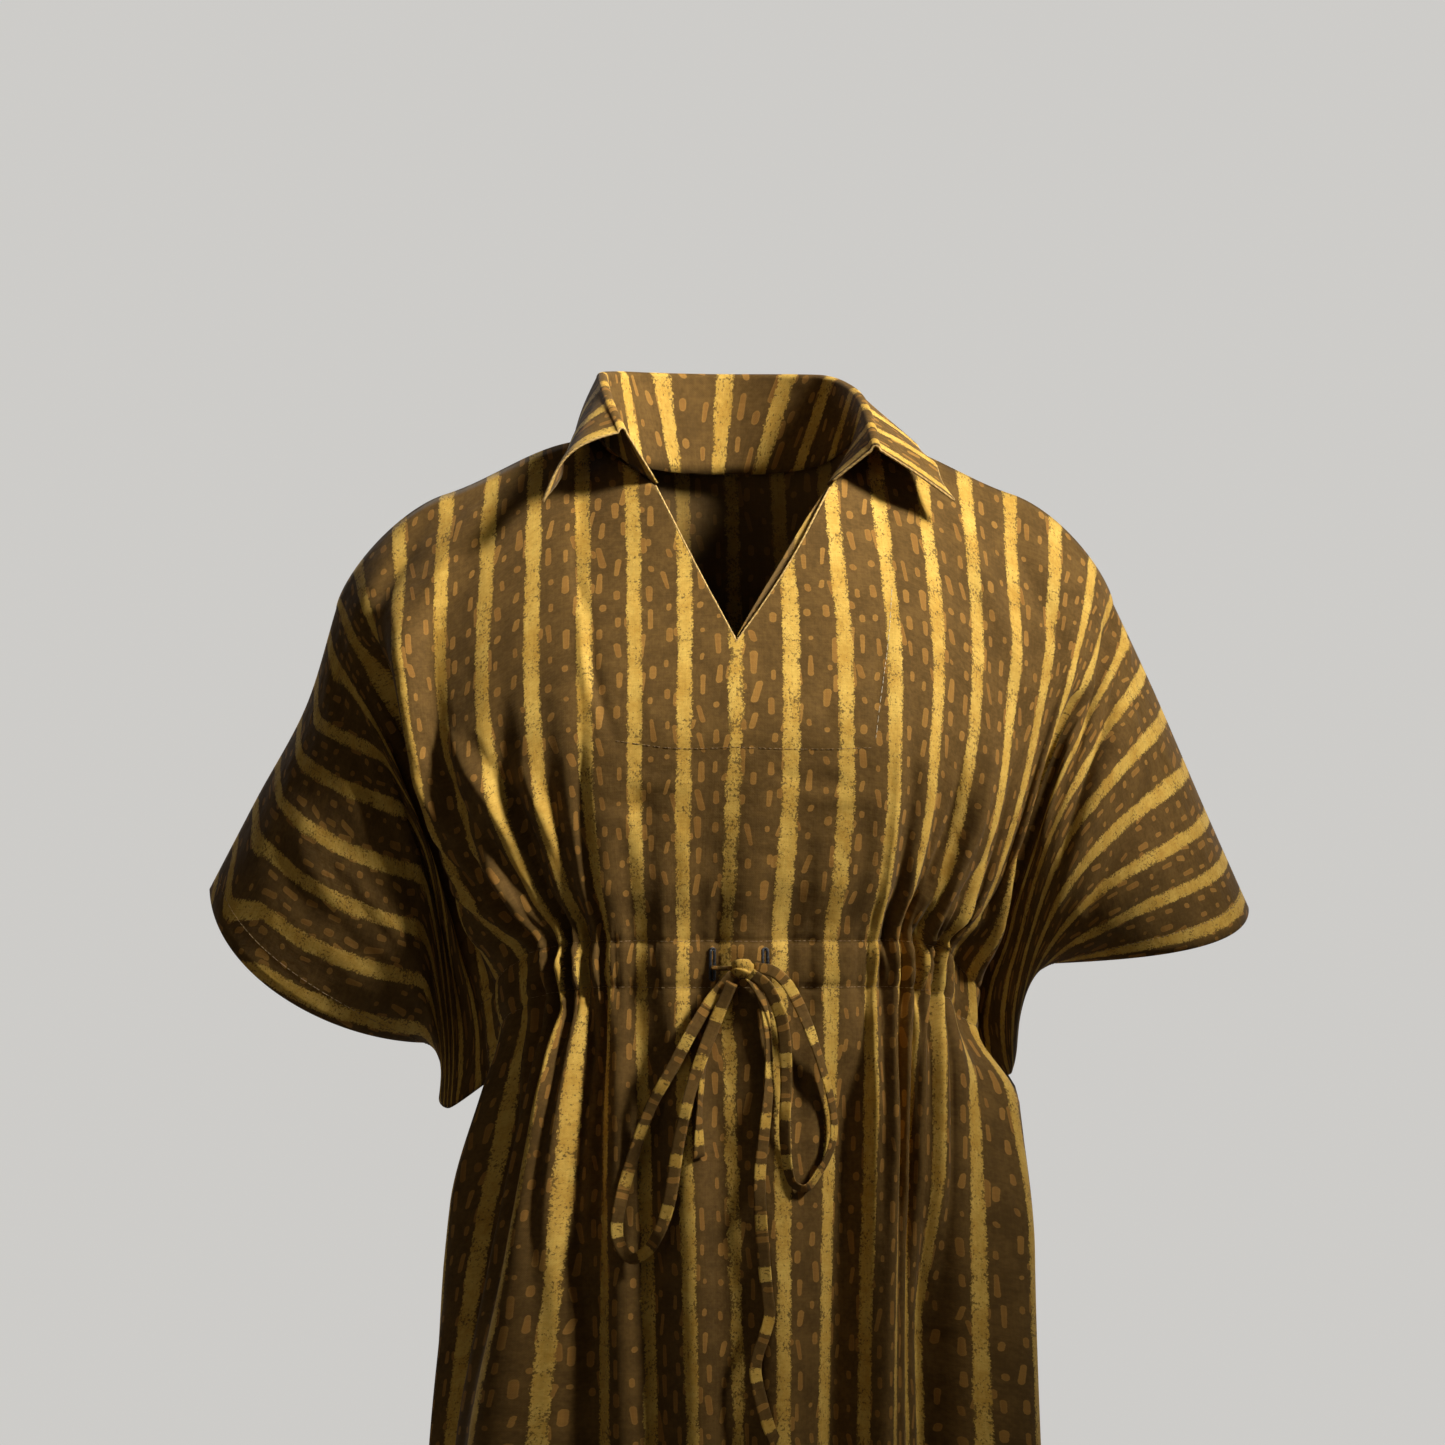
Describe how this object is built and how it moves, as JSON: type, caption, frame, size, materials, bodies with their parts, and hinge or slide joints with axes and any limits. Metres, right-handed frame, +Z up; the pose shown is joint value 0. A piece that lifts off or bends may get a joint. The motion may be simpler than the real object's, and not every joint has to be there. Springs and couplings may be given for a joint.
{
  "type": "kaftan",
  "caption": "Loose worn kaftan with sleeves cut in one with the body, an open collar over a V neck, a gathered waist and a tie.",
  "frame": {"origin": "centre of the neck at the height of the shoulder line, where the wearer's neck and shoulders hold the garment up", "axes": "+Z up towards the head, -Y out of the front with the V opening and the bow, +X towards the viewer's right"},
  "size_m": [0.6992, 0.2917, 1.2778],
  "materials": {
    "printed_cotton": "matte printed cotton",
    "tie_cotton": "matte printed cotton"
  },
  "bodies": {
    "root": {"front": "printed_cotton", "back": "printed_cotton", "collar": "printed_cotton", "neck_facing": "printed_cotton", "waist_casing_front": "printed_cotton", "waist_casing_back": "printed_cotton", "tie_stub": "tie_cotton", "tie_knot": "tie_cotton", "tie_loop_left": "tie_cotton", "tie_loop_right": "tie_cotton", "tie_tail_short": "tie_cotton", "tie_tail_long": "tie_cotton"}
  },
  "joints": []
}
